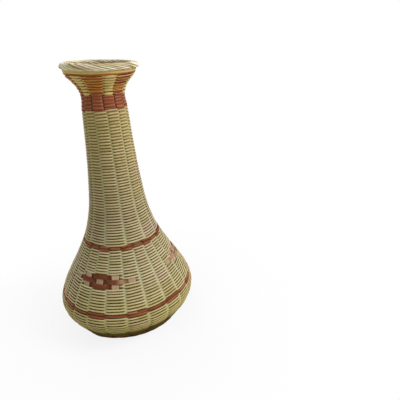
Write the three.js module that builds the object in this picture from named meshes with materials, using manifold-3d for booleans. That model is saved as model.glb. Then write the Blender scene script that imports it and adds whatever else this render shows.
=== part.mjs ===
// A woven bamboo flower vase: a wide low belly, a long slender neck and a flared mouth.
// Flat upright splints carry round weavers that pass in front of and behind them in turn,
// so each band of weaving is a ring with one slot for every splint that runs through it.
// The weavers bulge over the splints, and between two splints the ring has a groove.
// Every second splint ends at the upper red band, and the others go on to the mouth.
// Millimetres, +Z up, origin on the floor under the middle of the foot.
// Directions round the vase are measured from -Y, towards +X.

import * as THREE from 'three';
import { mergeVertices } from 'three/addons/utils/BufferGeometryUtils.js';
import Module from 'manifold-3d';

// Driving sizes of the material
const weaverDiameter = 2.1;
const splintThickness = 1.0;
const splintWidth = 11.5;
const stripThickness = 0.7;

// Where a column's bulge ends, between the edge of its slot (0) and the groove (1)
const shoulderShare = 0.35;

// Clearances
const seamGap = 0.3;
const slotClearance = 0.3;

// The foot border, on which the vase stands
const footBorderHeight = 5.8;
const footBorderWidth = 10;
const footBorderInset = 2;

// The wall, as a chain of bends from the foot to the lip: the rise from the bend below,
// and the outer radius that the wall has there
const footRadius = 90.5;
const footBand = { rise: 5, radius: 95 };
const underBelly = { rise: 10, radius: 103 };
const lowBelly = { rise: 13, radius: 111.2 };
const fullBelly = { rise: 15, radius: 114.3 };
const belowLowerBand = { rise: 11.1, radius: 111.2 };
const lowerBand = { rise: 6.3, radius: 108.8 };
const lowShoulder = { rise: 31.1, radius: 92.4 };
const patchZone = { rise: 22, radius: 79.4 };
const highShoulder = { rise: 30, radius: 63.8 };
const upperBand = { rise: 6, radius: 61.1 };
const neckRoot = { rise: 38.5, radius: 49 };
const lowNeck = { rise: 55, radius: 40.9 };
const highNeck = { rise: 106.2, radius: 33.2 };
const collar = { rise: 20.5, radius: 31.7 };
const lowFunnel = { rise: 8.3, radius: 34.4 };
const midFunnel = { rise: 9, radius: 40.6 };
const highFunnel = { rise: 9.5, radius: 48.6 };
const lip = { rise: 7.6, radius: 51 };

// The rolled rim on the lip
const rimHeight = 8.6;
const rimWidth = 9.8;
const rimOverhang = 2.1;

// The base: two crossed layers of splints, bound by a ring of weaving
const baseSplintsPerLayer = 6;
const baseSplintPitch = 13;
const baseOpeningRadius = 58;
const baseSplintEndRadius = 83;

// The upright splints
const stakeCount = 24;
const firstStakeAngle = THREE.MathUtils.degToRad(2.5);
const stakeDrift = THREE.MathUtils.degToRad(2.9);
const stakeTopMargin = 2;

// The plaited patches on the belly: each starts at one stake and spans five of them
const patchStarts = [-4, 3, 11];
const stripHeight = 5.9;
const stripPitch = 6.9;

// Points round a rolled border's section
const rollPoints = 8;

const naturalWeave = { color: 0xb5a678, roughness: 0.62, metalness: 0 };
const redWeave = { color: 0x7b4427, roughness: 0.5, metalness: 0 };
const paleSplint = { color: 0xc0a383, roughness: 0.55, metalness: 0 };

// Sizes that follow
const wallThickness = 2 * weaverDiameter + splintThickness;
const baseBottom = footBorderHeight + seamGap;
const baseMiddle = baseBottom + wallThickness / 2;
const baseTop = baseBottom + wallThickness;
const wallFootHeight = baseMiddle - wallThickness / 3;
const slotWidth = splintWidth + 2 * slotClearance;
const slotDepth = splintThickness + 2 * slotClearance;

const bends = [
  footBand, underBelly, lowBelly, fullBelly, belowLowerBand, lowerBand, lowShoulder,
  patchZone, highShoulder, upperBand, neckRoot, lowNeck, highNeck, collar,
  lowFunnel, midFunnel, highFunnel, lip,
];

// Outer outline of the wall, as points (radius, height)
const outerLine = [new THREE.Vector2(footRadius, wallFootHeight)];
for (const bend of bends) {
  const below = outerLine[outerLine.length - 1];
  outerLine.push(new THREE.Vector2(bend.radius, below.y + bend.rise));
}

// Number of the outline point that a bend makes
function pointOf(bend) {
  return bends.indexOf(bend) + 1;
}

// Unit normal on the right of the way from one point to the next, which is outwards
function normalOf(from, to) {
  const way = to.clone().sub(from).normalize();
  return new THREE.Vector2(way.y, -way.x);
}

// A line moved sideways by a distance, with mitred corners
function offsetLine(line, distance) {
  return line.map((point, i) => {
    const before = normalOf(line[Math.max(i - 1, 0)], line[Math.max(i, 1)]);
    const last = line.length - 1;
    const after = normalOf(line[Math.min(i, last - 1)], line[Math.min(i + 1, last)]);
    const mitre = before.clone().add(after).normalize();
    return point.clone().addScaledVector(mitre, distance / mitre.dot(before));
  });
}

// The outer line moved inwards, with its last point kept level with the lip
function wallLine(depth) {
  const line = offsetLine(outerLine, -depth);
  const lipPoint = outerLine[outerLine.length - 1];
  const lean = normalOf(outerLine[outerLine.length - 2], lipPoint).x;
  line[line.length - 1].set(lipPoint.x - depth / lean, lipPoint.y);
  return line;
}

const middleLine = wallLine(wallThickness / 2);
const innerLine = wallLine(wallThickness);
const slotOuterLine = wallLine((wallThickness - slotDepth) / 2);
const slotInnerLine = wallLine((wallThickness + slotDepth) / 2);

// In the grooves the wall is one weaver thick
const grooveOuterLine = wallLine((wallThickness - weaverDiameter) / 2);
const grooveInnerLine = wallLine((wallThickness + weaverDiameter) / 2);

// Manifold solids

const wasm = await Module();
wasm.setup();

function toSolid(geometry) {
  const bare = geometry.clone();
  bare.deleteAttribute('normal');
  bare.deleteAttribute('uv');
  const merged = mergeVertices(bare, 1e-4);
  return new wasm.Manifold(new wasm.Mesh({
    numProp: 3,
    vertProperties: new Float32Array(merged.attributes.position.array),
    triVerts: new Uint32Array(merged.index.array),
  }));
}

function toGeometry(solid) {
  const mesh = solid.getMesh();
  const geometry = new THREE.BufferGeometry();
  geometry.setAttribute('position', new THREE.BufferAttribute(mesh.vertProperties, 3));
  geometry.setIndex(new THREE.BufferAttribute(mesh.triVerts, 1));
  geometry.computeVertexNormals();
  return geometry;
}

const vase = new THREE.Group();

function addPiece(name, geometry, look, angle = 0) {
  const mesh = new THREE.Mesh(geometry, new THREE.MeshStandardMaterial(look));
  mesh.name = name;
  mesh.rotation.z = angle;
  vase.add(mesh);
  return mesh;
}

// Direction of a column round the vase, counted in stakes. Handmade spacing makes the front
// and back columns a little wider than those at the sides.
function columnAngle(number) {
  const onceRound = THREE.MathUtils.euclideanModulo(number, stakeCount);
  const even = firstStakeAngle + onceRound * 2 * Math.PI / stakeCount;
  return even + stakeDrift * Math.sin(2 * even);
}

// A closed outline turned about the vase's axis, with a corner at each stake and halfway
// between two stakes, as the rings of weaving have
function turned(outline) {
  const sides = 2 * stakeCount;
  const geometry = new THREE.LatheGeometry([...outline, outline[0]], sides);
  geometry.rotateX(Math.PI / 2);
  const places = geometry.attributes.position;
  for (let i = 0; i < places.count; i += 1) {
    const radius = Math.hypot(places.getX(i), places.getY(i));
    const corner = Math.round(Math.atan2(places.getX(i), -places.getY(i)) * sides / (2 * Math.PI));
    const angle = columnAngle(corner / 2);
    places.setXY(i, radius * Math.sin(angle), -radius * Math.cos(angle));
  }
  geometry.computeVertexNormals();
  return geometry;
}

// A flat splint that follows a line up the wall: the line's band, as thick and as wide as asked
function splintAlong(line, thickness, width) {
  const outside = offsetLine(line, thickness / 2);
  const inside = offsetLine(line, -thickness / 2).reverse();
  const shape = new THREE.Shape([...outside, ...inside]);
  const geometry = new THREE.ExtrudeGeometry(shape, { depth: width, bevelEnabled: false });
  geometry.translate(0, 0, -width / 2);
  geometry.rotateX(Math.PI / 2);
  geometry.rotateZ(-Math.PI / 2);
  return geometry;
}

// Every second stake is long and goes up to the lip
function isLong(number) {
  return number % 2 !== 0;
}

// A line's stretch from one bend to another, shortened at both ends
function stretch(line, from, to, startTrim, endTrim) {
  const moved = (at, towards, distance) => {
    const way = line[towards].clone().sub(line[at]).normalize();
    return line[at].clone().addScaledVector(way, distance);
  };
  return [
    moved(from, from + 1, startTrim),
    ...line.slice(from + 1, to).map((point) => point.clone()),
    moved(to, to - 1, endTrim),
  ];
}

// The stakes
for (let number = 0; number < stakeCount; number += 1) {
  const long = isLong(number);
  const top = pointOf(long ? lip : upperBand);
  const line = stretch(middleLine, 0, top, seamGap, stakeTopMargin);
  const name = `${long ? 'long' : 'short'}_stake_${Math.floor(number / 2) + 1}`;
  addPiece(name, splintAlong(line, splintThickness, splintWidth), paleSplint, columnAngle(number));
}

// Frames of the patches: a point on a stake in the patch zone, the way up the wall there,
// the way out of it and the way across
const patchLow = middleLine[pointOf(lowShoulder)];
const patchHigh = middleLine[pointOf(patchZone)];
const patchUp = patchHigh.clone().sub(patchLow).normalize();
const patchOut = new THREE.Vector2(patchUp.y, -patchUp.x);
const patchMiddle = patchLow.clone().lerp(patchHigh, 0.5);

function patchFrame(stake, row) {
  const spot = patchMiddle.clone().addScaledVector(patchUp, row * stripPitch);
  const turn = new THREE.Matrix4().makeRotationZ(columnAngle(stake));
  return {
    spot: new THREE.Vector3(0, -spot.x, spot.y).applyMatrix4(turn),
    up: new THREE.Vector3(0, -patchUp.x, patchUp.y).applyMatrix4(turn),
    out: new THREE.Vector3(0, -patchOut.x, patchOut.y).applyMatrix4(turn),
    across: new THREE.Vector3(1, 0, 0).applyMatrix4(turn),
  };
}

// A ribbon past a run of stakes. Each stop says how far out of the stakes' middle the ribbon's
// inner and outer faces lie. The ribbon is flat over each stake and slants between them.
function ribbon(stops, height) {
  const corners = [];
  for (const { stake, row, inside, outside } of stops) {
    const frame = patchFrame(stake, row);
    for (const side of [-1, 1]) {
      const edge = frame.spot.clone();
      edge.addScaledVector(frame.across, side * (slotWidth / 2 + slotClearance));
      for (const [depth, level] of [[inside, -1], [outside, -1], [outside, 1], [inside, 1]]) {
        const corner = edge.clone().addScaledVector(frame.out, depth);
        corners.push(corner.addScaledVector(frame.up, level * height / 2));
      }
    }
  }
  const faces = [];
  for (let start = 0; start + 4 < corners.length; start += 4) {
    for (let side = 0; side < 4; side += 1) {
      const a = start + side;
      const b = start + (side + 1) % 4;
      faces.push(a, b + 4, b, a, a + 4, b + 4);
    }
  }
  const end = corners.length - 4;
  faces.push(0, 1, 2, 0, 2, 3, end, end + 2, end + 1, end, end + 3, end + 2);
  const geometry = new THREE.BufferGeometry().setFromPoints(corners);
  geometry.setIndex(faces);
  geometry.computeVertexNormals();
  return geometry;
}

// Depths of a strip behind and in front of a stake, and of the window that is cut for it
const stripClear = splintThickness / 2 + slotClearance;
const behind = { inside: -stripClear - stripThickness, outside: -stripClear };
const inFront = { inside: stripClear, outside: stripClear + stripThickness };
const windowFace = { inside: behind.inside - slotClearance, outside: wallThickness };

// Each row of a patch: its place up or down, and the stakes that its strip passes
const patchRows = [
  { name: 'upper', row: 1, stakes: [1, 2, 3] },
  { name: 'middle', row: 0, stakes: [0, 1, 2, 3, 4] },
  { name: 'lower', row: -1, stakes: [1, 2, 3] },
];

const windows = [];
patchStarts.forEach((first, patch) => {
  for (const { name, row, stakes } of patchRows) {
    const stops = stakes.map((step, i) => (
      { stake: first + step, row, ...(i % 2 === 0 ? behind : inFront) }
    ));
    addPiece(`patch_${patch + 1}_${name}_strip`, ribbon(stops, stripHeight), redWeave);
  }
  const cuts = [{ stakes: [1, 2, 3], rows: 3 }, { stakes: [0, 1, 2, 3, 4], rows: 1 }];
  for (const { stakes, rows } of cuts) {
    const stops = stakes.map((step) => ({ stake: first + step, row: 0, ...windowFace }));
    const height = (rows - 1) * stripPitch + stripHeight + 2 * slotClearance;
    windows.push(toSolid(ribbon(stops, height)));
  }
});

// The faces of a column's end, between the corners of its rim, which are numbered 0 to 4
// outside and 5 to 9 inside, and those of its slot, which are numbered 10 to 13
const endFaces = [
  [0, 1, 10], [1, 2, 10], [2, 11, 10], [2, 3, 11], [3, 4, 11], [4, 12, 11], [4, 5, 12],
  [5, 6, 12], [6, 7, 12], [7, 13, 12], [7, 8, 13], [8, 9, 13], [9, 10, 13], [9, 0, 10],
];

// A ring of weaving between two bends, with a slot through it for each stake. It is built
// column by column: outer and inner faces from groove to groove, and the slot between. Both
// bulge over the stake, out to a shoulder on each side of it.
function weaveRing(name, from, to, look, windowCuts = []) {
  const step = from < pointOf(upperBand) ? 1 : 2;
  const cut = (line) => stretch(line, from, to, seamGap / 2, seamGap / 2);
  const [outer, inner] = [cut(outerLine), cut(innerLine)];
  const [slotOuter, slotInner] = [cut(slotOuterLine), cut(slotInnerLine)];
  const [grooveOuter, grooveInner] = [cut(grooveOuterLine), cut(grooveInnerLine)];
  const corners = [];
  const quad = (a, b, c, d) => corners.push(a, b, c, a, c, d);
  for (let number = step - 1; number < stakeCount; number += step) {
    const angles = [-step / 2, 0, step / 2].map((share) => columnAngle(number + share));
    const across = new THREE.Vector3(Math.cos(angles[1]), Math.sin(angles[1]), 0);
    const at = (angle, { x, y }) => new THREE.Vector3(x * Math.sin(angle), -x * Math.cos(angle), y);
    const beside = (point, side) => at(angles[1], point).addScaledVector(across, side * slotWidth / 2);
    const shoulder = (point, side) => {
      const grooveAcross = point.x * Math.abs(Math.sin(angles[1 + side] - angles[1]));
      const away = THREE.MathUtils.lerp(slotWidth / 2, grooveAcross, shoulderShare);
      return at(angles[1] + side * Math.asin(away / point.x), point);
    };
    const face = (line, groove, i) => [
      at(angles[0], groove[i]), shoulder(line[i], -1), at(angles[1], line[i]),
      shoulder(line[i], 1), at(angles[2], groove[i]),
    ];
    const rims = outer.map((point, i) => [
      ...face(outer, grooveOuter, i), ...face(inner, grooveInner, i).reverse(),
    ]);
    const slots = slotOuter.map((point, i) => [
      beside(point, -1), beside(point, 1), beside(slotInner[i], 1), beside(slotInner[i], -1),
    ]);
    for (let i = 0; i + 1 < rims.length; i += 1) {
      for (const k of [0, 1, 2, 3, 5, 6, 7, 8]) {
        quad(rims[i][k], rims[i][k + 1], rims[i + 1][k + 1], rims[i + 1][k]);
      }
      for (const k of [0, 1, 2, 3]) {
        const next = (k + 1) % 4;
        quad(slots[i][next], slots[i][k], slots[i + 1][k], slots[i + 1][next]);
      }
    }
    const bottom = [...rims[0], ...slots[0]];
    const top = [...rims.at(-1), ...slots.at(-1)];
    for (const [a, b, c] of endFaces) {
      corners.push(top[a], top[b], top[c]);
      corners.push(bottom[c], bottom[b], bottom[a]);
    }
  }
  const ring = new THREE.BufferGeometry().setFromPoints(corners);
  if (windowCuts.length === 0) {
    ring.computeVertexNormals();
    addPiece(name, ring, look);
    return;
  }
  const solid = windowCuts.reduce((rest, tool) => rest.subtract(tool), toSolid(ring));
  addPiece(name, toGeometry(solid), look);
}

const foot = 0;
weaveRing('foot_red_band', foot, pointOf(footBand), redWeave);
weaveRing('under_belly_weave', pointOf(footBand), pointOf(lowBelly), naturalWeave);
weaveRing('lower_belly_weave', pointOf(lowBelly), pointOf(belowLowerBand), naturalWeave);
weaveRing('lower_red_band', pointOf(belowLowerBand), pointOf(lowerBand), redWeave);
weaveRing('belly_weave', pointOf(lowerBand), pointOf(patchZone), naturalWeave, windows);
weaveRing('shoulder_weave', pointOf(patchZone), pointOf(highShoulder), naturalWeave);
weaveRing('upper_red_band', pointOf(highShoulder), pointOf(upperBand), redWeave);
weaveRing('neck_root_weave', pointOf(upperBand), pointOf(lowNeck), naturalWeave);
weaveRing('neck_weave', pointOf(lowNeck), pointOf(highNeck), naturalWeave);
weaveRing('collar_weave', pointOf(highNeck), pointOf(collar), redWeave);
weaveRing('funnel_weave', pointOf(collar), pointOf(highFunnel), naturalWeave);
weaveRing('rim_binding', pointOf(highFunnel), pointOf(lip), naturalWeave);

// A rolled border of given middle, width and height, round above and flat below
function rolledBorder(middleRadius, bottom, width, height) {
  const outline = [];
  for (let i = 0; i < rollPoints; i += 1) {
    const turn = 2 * Math.PI * (i + 0.5) / rollPoints - Math.PI / 2;
    const up = Math.sin(turn) / Math.cos(Math.PI / rollPoints);
    outline.push(new THREE.Vector2(
      middleRadius + width / 2 * Math.cos(turn),
      bottom + height / 2 * (1 + up),
    ));
  }
  return outline;
}

const rimRadius = lip.radius + rimOverhang - rimWidth / 2;
const rimBottom = outerLine[pointOf(lip)].y + seamGap / 2;
addPiece('rim_border', turned(rolledBorder(rimRadius, rimBottom, rimWidth, rimHeight)), naturalWeave);

const footBorderRadius = footRadius - footBorderInset - footBorderWidth / 2;
addPiece('foot_border',
  turned(rolledBorder(footBorderRadius, 0, footBorderWidth, footBorderHeight)), naturalWeave);

// The splints of the base, in a lower layer along X and an upper layer along Y
function baseSplint(layer, number, extra) {
  const offset = (number - (baseSplintsPerLayer - 1) / 2) * baseSplintPitch;
  const edge = Math.abs(offset) + splintWidth / 2;
  const length = 2 * Math.sqrt(baseSplintEndRadius ** 2 - edge ** 2);
  const geometry = new THREE.BoxGeometry(
    length + 2 * extra, splintWidth + 2 * extra, splintThickness + 2 * extra,
  );
  geometry.translate(0, offset, 0);
  if (layer === 'y') geometry.rotateZ(Math.PI / 2);
  const side = layer === 'y' ? 1 : -1;
  geometry.translate(0, 0, baseMiddle + side * (splintThickness + seamGap) / 2);
  return geometry;
}

// The ring of weaving round the base: its outer edge faces the foot of the wall
const towardsBase = outerLine[0].clone().sub(outerLine[1]).setLength(seamGap / 2);
const cornerBelow = outerLine[0].clone().add(towardsBase);
const cornerAbove = innerLine[0].clone().add(towardsBase);
const baseOutline = [
  new THREE.Vector2(baseOpeningRadius, baseBottom),
  new THREE.Vector2(cornerBelow.x, baseBottom),
  cornerBelow,
  cornerAbove,
  new THREE.Vector2(cornerAbove.x - (baseTop - cornerAbove.y), baseTop),
  new THREE.Vector2(baseOpeningRadius, baseTop),
];
let baseRing = toSolid(turned(baseOutline));
for (const layer of ['x', 'y']) {
  for (let number = 0; number < baseSplintsPerLayer; number += 1) {
    addPiece(`base_splint_${layer}_${number + 1}`, baseSplint(layer, number, 0), paleSplint);
    baseRing = baseRing.subtract(toSolid(baseSplint(layer, number, slotClearance)));
  }
}
addPiece('base_weave', toGeometry(baseRing), naturalWeave);

export default vase;
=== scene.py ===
"""A woven bamboo flower vase: a wide low belly, a long slender neck and a flared mouth.

Every row of the weaving is a closed strand that passes in front of and behind the flat
uprights in turn. Lengths are in millimetres until a mesh is made. Directions round the vase
are angles measured from -Y towards +X, and columns are counted in uprights."""

import bpy
import numpy as np
from mathutils import Matrix


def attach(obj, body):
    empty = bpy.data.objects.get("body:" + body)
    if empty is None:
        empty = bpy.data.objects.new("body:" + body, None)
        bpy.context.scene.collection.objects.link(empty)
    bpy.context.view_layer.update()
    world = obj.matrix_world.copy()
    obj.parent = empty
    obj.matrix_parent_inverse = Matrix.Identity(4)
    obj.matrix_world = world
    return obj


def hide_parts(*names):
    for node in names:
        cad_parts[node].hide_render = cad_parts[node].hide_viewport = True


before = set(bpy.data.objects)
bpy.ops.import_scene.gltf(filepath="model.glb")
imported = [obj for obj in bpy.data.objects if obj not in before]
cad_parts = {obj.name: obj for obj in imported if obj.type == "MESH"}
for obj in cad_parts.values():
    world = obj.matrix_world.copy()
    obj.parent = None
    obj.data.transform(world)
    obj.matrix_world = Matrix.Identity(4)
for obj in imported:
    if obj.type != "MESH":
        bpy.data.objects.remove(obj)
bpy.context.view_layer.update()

MM = 0.001
rng = np.random.default_rng(11)

# The wall's outer outline, as pairs of radius and height
OUTLINE = np.array([
    (90.5, 6.97), (95.0, 11.97), (103.0, 21.97), (111.2, 34.97), (114.3, 49.97), (111.2, 61.07),
    (108.8, 67.37), (92.4, 98.47), (79.4, 120.47), (63.8, 150.47), (61.1, 156.47), (49.0, 194.97),
    (40.9, 249.97), (36.6, 300.0), (33.2, 356.17), (31.7, 376.67), (34.4, 384.97),
    (40.6, 393.97), (48.6, 403.47), (51.0, 411.07),
])
WALL_THICKNESS = 5.2

# How many points the smooth curve through the outline has
WALL_STEPS = 4000

# Bands of weaving from the foot to the mouth: how many rows each has, and the heights between
# which they lie, nearly all of them bends of the outline
BENDS = OUTLINE[:, 1]
FUNNEL_TOP = 407.0
BANDS = {
    "foot": (3, BENDS[0], BENDS[1]),
    "under_belly": (13, BENDS[1], BENDS[3]),
    "lower_belly": (12, BENDS[3], BENDS[5]),
    "lower_band": (3, BENDS[5], BENDS[6]),
    "belly": (43, BENDS[6], BENDS[9]),
    "upper_band": (3, BENDS[9], BENDS[10]),
    "neck": (94, BENDS[10], BENDS[14]),
    "collar": (9, BENDS[14], BENDS[15]),
    "funnel": (14, BENDS[15], FUNNEL_TOP),
}

COLLAR_FOOT = BANDS["collar"][1]
SHORT_UPRIGHTS_TOP = BANDS["upper_band"][2]

# The straw-coloured binding on the two sides of the lip
OUTER_BINDING = (2, FUNNEL_TOP, BENDS[-1])
INNER_BINDING = (3, 404.6, BENDS[-1])

# Round weavers: half their thickness, half their height where they cross, what is added to it
# where they show and where they lie inside, how far their middle stands from the middle of
# the wall, and the sides of their section
WEAVER_HALF_THICKNESS = 1.0
WEAVER_HALF_HEIGHT = 1.52
WEAVER_SWELL = -0.16
INNER_SWELL = 0.6
WEAVER_LIFT = 1.55
WEAVER_SIDES = 8

# How steeply a weaver crosses from one side of the uprights to the other, and how soon after
# that it swells
WEAVER_STEEPNESS = 1.55
SWELL_STEEPNESS = 1.2

# Handwork is uneven: a weaver's depth in the wall, its thickness along itself and from row to
# row, its sag from column to column, and its level at a few spots round the vase
UNEVEN_DEPTH = 0.07
UNEVEN_THICKNESS = 0.035
UNEVEN_ROW_THICKNESS = 0.03
UNEVEN_SAG = 0.06
UNEVEN_LEVEL = 0.08
LEVEL_SPOTS = 3

# How strongly the crevice colour, painted shade in the gaps on most weavers, comes in along a
# weaver: where it crosses, what is added where it stands out, and what is added between the two
GAP_AT_CROSSING, GAP_STANDING_OUT, GAP_BETWEEN = 0.4, 0.3, 1.6

# A lean that keeps a strand all the way in front of the uprights
ALL_IN_FRONT = 3

# Flat uprights round the vase, of which every second one is long, and the direction of the
# first
UPRIGHTS = 24
LONG_UPRIGHTS = UPRIGHTS // 2
FIRST_ANGLE = np.radians(2.5)
SPLINT_THICKNESS = 1.0
SPLINT_WIDTH = 11.5

# How they are made: their steps and the sides of their section, its powers across and
# outwards, how much they sway and at how many spots, and how far they stay from the wall's
# lower end and from their top
UPRIGHT_STEPS, UPRIGHT_SIDES = 400, 12
UPRIGHT_POWERS = (0.35, 0.5)
UPRIGHT_SWAY, SWAY_SPOTS = 0.25, 5
UPRIGHT_FOOT, UPRIGHT_TOP_MARGIN = 0.3, 1

# Over which lengths the uprights' colour changes: at a patch, from painted olive shade to their
# pale colour, and at the collar, from painted olive shade to painted brown shade
BARE_EDGE = 1.2
COLLAR_EDGE = 3

# How far their spacing departs from an even one, on the belly and on the neck
DRIFT_HEIGHTS = (110, 200)
DRIFTS = np.radians((4.4, 1.4))

# How far the uprights are twisted to the left where the collar binds them, by height
TWIST_HEIGHTS = (350, 360, 378, 404)
TWISTS = np.radians((0, -5, -4.5, -2.5))

# The vase's handmade lean at five heights: the shares of x and of y by which points rise, and
# the shift along x
LEANS = np.array([
    (300, 0, 0, 0), (352, 0.057, 0, 0), (377, 0, 0.02, 0), (404, 0, 0.095, 0),
    (416, -0.01, 0.085, 1.2),
])

# The handmade foot stands out a little at two corners: their directions and how far, over
# how wide a turn and up to which height
FOOT_CORNERS = ((np.radians(-46), 4.0), (np.radians(42), 1.4))
CORNER_TURN = np.radians(13)
CORNER_HEIGHTS = (6, 24)

# Patches: the upright at which each begins, the height of their middle and the wall's radius
# there. Each spans five uprights and has three strips, which take the place of nine rows of
# weaving and are a little wider than these. The middle strip reaches over two uprights on
# each side of the patch's middle, and the outer strips over one.
PATCH_STARTS = (-4, 3, 11)
PATCH_HEIGHT = 109.5
PATCH_RADIUS = 84
STRIPS = 3
STRIP_ROWS = 3
STRIP_PITCH_ROWS = 3.25
MIDDLE_REACH, OUTER_REACH = 2, 1

# Round a patch: how much wider than an upright the weaving's window is, over how many
# columns a weaver dives behind the strips, and how far behind them it stays
WINDOW_MARGIN = 0.5
WINDOW_EDGE = 0.16
BEHIND_CLEARANCE = 0.5

# How the rows above and below make way for a patch: how far up and down the push lasts, how
# far it reaches from the patch's middle, and over how many columns it ends
PUSH_ROWS = 3
PUSH_REACH, PUSH_EDGE = 2.6, 1.2

# Strips: half their thickness, their steps for each column, the sides of their section and
# its powers across and outwards, and how many columns they go on beyond their outer uprights
STRIP_HALF_THICKNESS = 0.4
STRIP_STEPS, STRIP_SIDES = 20, 12
STRIP_POWERS = (0.4, 0.6)
STRIP_ENDS = (0.38, 0.26)

# How strips lie: how steeply they cross, how far they clear an upright and bulge over it,
# their half height in rows where they are narrow, what a swell adds to it and where in the
# wave it sets in, and how much they sag and at how many spots
STRIP_STEEPNESS = 1.5
STRIP_CLEARANCE = 0.1
STRIP_BULGE = 0.5
STRIP_NARROW, STRIP_SWELL = 1.22, 0.4
STRIP_SWELL_START, STRIP_SWELL_SPAN = -0.45, 1.1
STRIP_SAG, STRIP_SAG_SPOTS = 0.15, 4

# The power of a sine that puts painted shade on only a strip's two edges
STRIP_EDGE_POWER = 6

# Between which columns of a patch a strip turns tan. Every other strip keeps its colour up
# to its last upright.
STRIP_TAN_SPANS = {
    (1, "middle"): (3.0, 3.4), (2, "upper"): (2.9, 1.9), (2, "middle"): (3.2, 2.2),
    (2, "lower"): (3.4, 2.6),
}
NO_TAN_SPAN = (4, 5)

# Rolled borders: steps for each turn of a strand, the sides of its section, half its
# thickness, how much the strands overlap, and how uneven their spread and their size are
ROLL_STEPS, ROLL_SIDES = 30, 8
ROLL_HALF_THICKNESS = 1.5
ROLL_OVERLAP = 1.03
UNEVEN_ROLL_SPREAD, UNEVEN_ROLL_SIZE = 0.08, 0.12

# The base: splints in each of its two layers and their pitch, and the rings that bind them,
# whose middle height changes from one layer to the other
BASE_SPLINTS, BASE_SPLINT_PITCH = 6, 13.0
BASE_RINGS, BASE_RING_RADIUS, BASE_RING_PITCH = 12, 59.5, 2.2
BASE_RING_STEPS = 288
BASE_RING_HALF_WIDTH = 1.2
BASE_RING_STEEPNESS = 1.5
BASE_RING_LIFT = 0.9 * WEAVER_LIFT
BASE_HEIGHT, BASE_LAYER_RISE = 8.7, 0.45

# On the map of the strands' tones, in metres: how far apart neighbouring strands lie, and
# among how many places a piece's first strand takes its own by chance
MAP_PITCH = 0.1
MAP_PLACES = 90


def eased(x):
    """0 below 0, 1 above 1, and a smooth rise between: three times the square less twice the
    cube."""
    x = np.clip(x, 0, 1)
    return x * x * (3 - 2 * x)


def soft_step(distance, width):
    """A smooth rise from 0 to 1 over a width, with its middle at a distance of 0."""
    return eased(distance / width + 0.5)


def crossed(wave, steepness):
    """From -1 to 1 and back as a strand passes from side to side: a wave made steeper,
    clipped and rounded off by a sine."""
    return np.sin(np.pi / 2 * np.clip(steepness * wave, -1, 1))


def squared_off(wave, power):
    """A sine or cosine with its size raised to a power and its sign kept. A power below 1
    makes a round section squarer."""
    return np.sign(wave) * np.abs(wave) ** power


def section_turns(sides):
    """Directions of the points round a strand's section, spread evenly over a full turn."""
    return 2 * np.pi * np.arange(sides) / sides


# Objects

def new_object(name, data):
    """An object in the scene for a mesh, a lamp or a camera."""
    item = bpy.data.objects.new(name, data)
    bpy.context.scene.collection.objects.link(item)
    return item


def add_piece(name, points, faces, uvs, material, nodes, marks):
    """A piece from points in millimetres, faces as arrays of corner numbers and one UV pair
    for each face corner. marks holds named values from 0 to 1, one for each point."""
    points = points.reshape(-1, 3)
    corners = np.concatenate([face.ravel() for face in faces]).astype(np.int32)
    sizes = np.concatenate([np.full(len(face), face.shape[1]) for face in faces])
    starts = np.concatenate([[0], np.cumsum(sizes)[:-1]]).astype(np.int32)
    mesh = bpy.data.meshes.new(name)
    mesh.vertices.add(len(points))
    mesh.vertices.foreach_set("co", (points * MM).astype(np.float32).ravel())
    mesh.loops.add(len(corners))
    mesh.loops.foreach_set("vertex_index", corners)
    mesh.polygons.add(len(sizes))
    mesh.polygons.foreach_set("loop_start", starts)
    mesh.polygons.foreach_set("use_smooth", np.ones(len(sizes), dtype=bool))
    layer = mesh.uv_layers.new(name="UVMap")
    layer.data.foreach_set("uv", np.concatenate(uvs).astype(np.float32).ravel())
    for mark, value in marks.items():
        attribute = mesh.attributes.new(mark, "FLOAT", "POINT")
        attribute.data.foreach_set("value", value.astype(np.float32).ravel())
    mesh.update(calc_edges=True)
    mesh.materials.append(material)
    piece = new_object(name, mesh)
    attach(piece, "root")
    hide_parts(*nodes)


def tube_faces(tubes, steps, sides, is_closed):
    """Faces of tubes whose points lie on a grid (tube, step, side), and where each face
    corner lies on that grid before it wraps: its tube, its step and its side."""
    last = steps if is_closed else steps - 1
    tube, step, side = np.meshgrid(np.arange(tubes), np.arange(last), np.arange(sides),
                                   indexing="ij")
    tube, step, side = tube.ravel(), step.ravel(), side.ravel()
    tube = np.stack([tube] * 4, axis=1)
    step = np.stack([step, step + 1, step + 1, step], axis=1)
    side = np.stack([side, side, side + 1, side + 1], axis=1)
    faces = (tube * steps + step % steps) * sides + side % sides
    return faces, tube, step, side


def add_tubes(name, points, along, across, material, nodes, marks, is_closed=True):
    """Tubes from points on a grid (tube, step, side). along holds the length in metres at
    each step of each tube, across a rough length in metres round the section, and these two
    make the UV map. marks holds named values on the same grid. Open tubes get a flat face at
    both ends."""
    tubes, steps, sides = points.shape[:3]
    faces, tube, step, side = tube_faces(tubes, steps, sides, is_closed)
    own_place = MAP_PITCH * (np.arange(tubes) + rng.integers(0, MAP_PLACES))
    u = along[tube, step]
    v = own_place[tube] + across * side / sides
    all_faces = [faces]
    uvs = [np.stack([u, v], axis=-1).reshape(-1, 2)]
    if not is_closed:
        first = (np.arange(tubes) * steps * sides)[:, None]
        ring = np.arange(sides)[None, :]
        all_faces.append(first + ring)
        all_faces.append((first + (steps - 1) * sides + ring)[:, ::-1])
        uvs.append(np.zeros((2 * tubes * sides, 2)))
    marks = {mark: np.broadcast_to(value, points.shape[:3]) for mark, value in marks.items()}
    add_piece(name, points, all_faces, uvs, material, nodes, marks)


# The wall

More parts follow.
